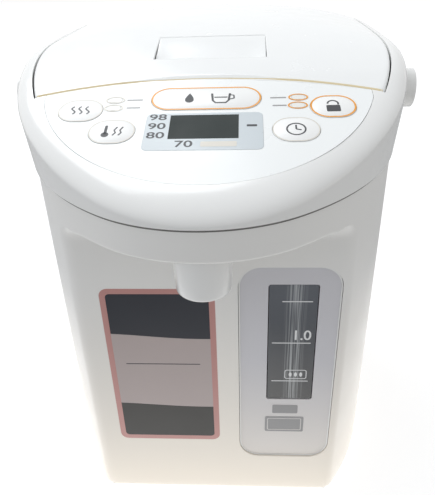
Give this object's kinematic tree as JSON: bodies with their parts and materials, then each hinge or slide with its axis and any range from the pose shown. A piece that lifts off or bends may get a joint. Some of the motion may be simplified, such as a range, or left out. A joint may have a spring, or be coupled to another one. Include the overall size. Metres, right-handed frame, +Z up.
{
  "type": "electric thermo pot",
  "caption": "Countertop electric hot water pot with a hinged lid, front spout under a tilted control panel, level window, folding carry handle and turntable base.",
  "frame": {"origin": "middle of the underside of the whole pot's box, where its pads stand on the table", "axes": "+Z up, the spout and control panel face -Y, +X to the right seen from the front"},
  "size_m": [0.245, 0.2933, 0.292],
  "materials": {
    "aluminium": "cast aluminium",
    "bezel_grey": "silver grey print",
    "black_plastic": "moulded black nylon",
    "board_green": "glass epoxy board",
    "bright_steel": "zinc plated steel",
    "clear_tube": "borosilicate tube",
    "grey_panel": "moulded pale grey plastic",
    "inner_white": "moulded natural polypropylene",
    "key_white": "soft white key tops",
    "lcd": "liquid crystal glass",
    "lens": "diffusing lens",
    "print_film": "printed polyester film",
    "rubber_dark": "rubber pads",
    "rubber_grey": "silicone rubber",
    "smoked_window": "smoked clear styrene",
    "steel": "drawn stainless steel",
    "white_shell": "moulded white polypropylene, gloss"
  },
  "bodies": {
    "pot": {"base_plate": "inner_white", "base_screws": "bright_steel", "control_board": "board_green", "control_film": "print_film", "crossover_hose": "rubber_grey", "gauge_panel": "grey_panel", "gauge_window": "smoked_window", "handle_pins": "inner_white", "head_shell": "white_shell", "heater_clamp": "bright_steel", "heater_plate": "aluminium", "heater_screws": "bright_steel", "heater_sensors": "black_plastic", "hinge_pin": "bright_steel", "indicator_lenses": "lens", "inlet_sleeve": "rubber_grey", "inlet_socket": "black_plastic", "lcd_bezel": "bezel_grey", "lcd_glass": "lcd", "level_tube": "clear_tube", "motor_can": "bright_steel", "mouth_funnel": "inner_white", "mouth_seal": "rubber_grey", "nozzle": "inner_white", "outer_case": "white_shell", "power_board": "board_green", "pump_bracket": "inner_white", "pump_lower_case": "black_plastic", "pump_upper_case": "black_plastic", "riser_hose": "rubber_grey", "spout_cover": "white_shell", "switches_and_display": "black_plastic", "swivel_washer": "inner_white", "tip_valve_body": "inner_white", "vacuum_jacket": "steel", "vessel_bracket": "inner_white", "vessel_liner": "steel", "wire_loom": "black_plastic"},
    "turntable": {"turntable": "inner_white", "turntable_pads": "rubber_dark", "swivel_rivet": "bright_steel"},
    "lid": {"lid_cover": "white_shell", "lid_base": "inner_white", "inner_lid": "steel", "lid_seal": "rubber_grey", "steam_labyrinth": "inner_white", "lid_screws": "bright_steel", "lever_tray": "white_shell"},
    "lever": {"lid_lever": "white_shell"},
    "latch": {"latch": "inner_white"},
    "handle": {"carry_handle": "white_shell"},
    "dispense_key": {"dispense_key": "key_white"},
    "unlock_key": {"unlock_key": "key_white"},
    "timer_key": {"timer_key": "key_white"},
    "keep_warm_key": {"keep_warm_key": "key_white"},
    "boil_key": {"boil_key": "key_white"},
    "rotor": {"drive_magnet": "black_plastic"},
    "impeller": {"impeller": "inner_white"},
    "tip_ball": {"tip_valve_ball": "bright_steel"}
  },
  "joints": [
    {"name": "lid_hinge", "type": "hinge", "parent": "pot", "child": "lid", "pos_m": [0, 0.13178, 0.2612], "axis": [-1, 0, 0], "range_deg": [0, 75]},
    {"name": "lever_press", "type": "hinge", "parent": "lid", "child": "lever", "pos_m": [0, 0.00468, 0.278], "axis": [1, 0, 0], "range_deg": [0, 6], "stiffness_Nm_per_rad": 1.5},
    {"name": "latch_slide", "type": "slide", "parent": "lid", "child": "latch", "axis": [0, 1, 0], "range_m": [0, 0.003]},
    {"name": "handle_swing", "type": "hinge", "parent": "pot", "child": "handle", "pos_m": [0, 0.00218, 0.251], "axis": [1, 0, 0], "range_deg": [0, 95]},
    {"name": "turntable_swivel", "type": "hinge", "parent": "pot", "child": "turntable", "pos_m": [0, 0.01218, 0], "axis": [0, 0, 1], "continuous": true},
    {"name": "rotor_spin", "type": "hinge", "parent": "pot", "child": "rotor", "pos_m": [0, 0.02018, 0.03], "axis": [0, 0, 1], "continuous": true},
    {"name": "impeller_spin", "type": "hinge", "parent": "pot", "child": "impeller", "pos_m": [0, 0.02018, 0.042], "axis": [0, 0, 1], "continuous": true},
    {"name": "tip_ball_rise", "type": "slide", "parent": "pot", "child": "tip_ball", "axis": [0, 0, 1], "range_m": [0, 0.0038]},
    {"name": "dispense_press", "type": "slide", "parent": "pot", "child": "dispense_key", "axis": [0, 0.3338, -0.9426], "range_m": [0, 0.0003], "stiffness_N_per_m": 400},
    {"name": "unlock_press", "type": "slide", "parent": "pot", "child": "unlock_key", "axis": [0, 0.3338, -0.9426], "range_m": [0, 0.0003], "stiffness_N_per_m": 400},
    {"name": "timer_press", "type": "slide", "parent": "pot", "child": "timer_key", "axis": [0, 0.3338, -0.9426], "range_m": [0, 0.0003], "stiffness_N_per_m": 400},
    {"name": "keep_warm_press", "type": "slide", "parent": "pot", "child": "keep_warm_key", "axis": [0, 0.3338, -0.9426], "range_m": [0, 0.0003], "stiffness_N_per_m": 400},
    {"name": "boil_press", "type": "slide", "parent": "pot", "child": "boil_key", "axis": [0, 0.3338, -0.9426], "range_m": [0, 0.0003], "stiffness_N_per_m": 400}
  ],
  "couplings": [
    {"joint": "impeller_spin", "follows": "rotor_spin", "ratio": 1},
    {"joint": "latch_slide", "follows": "lever_press", "m_per_rad": 0.027693}
  ]
}
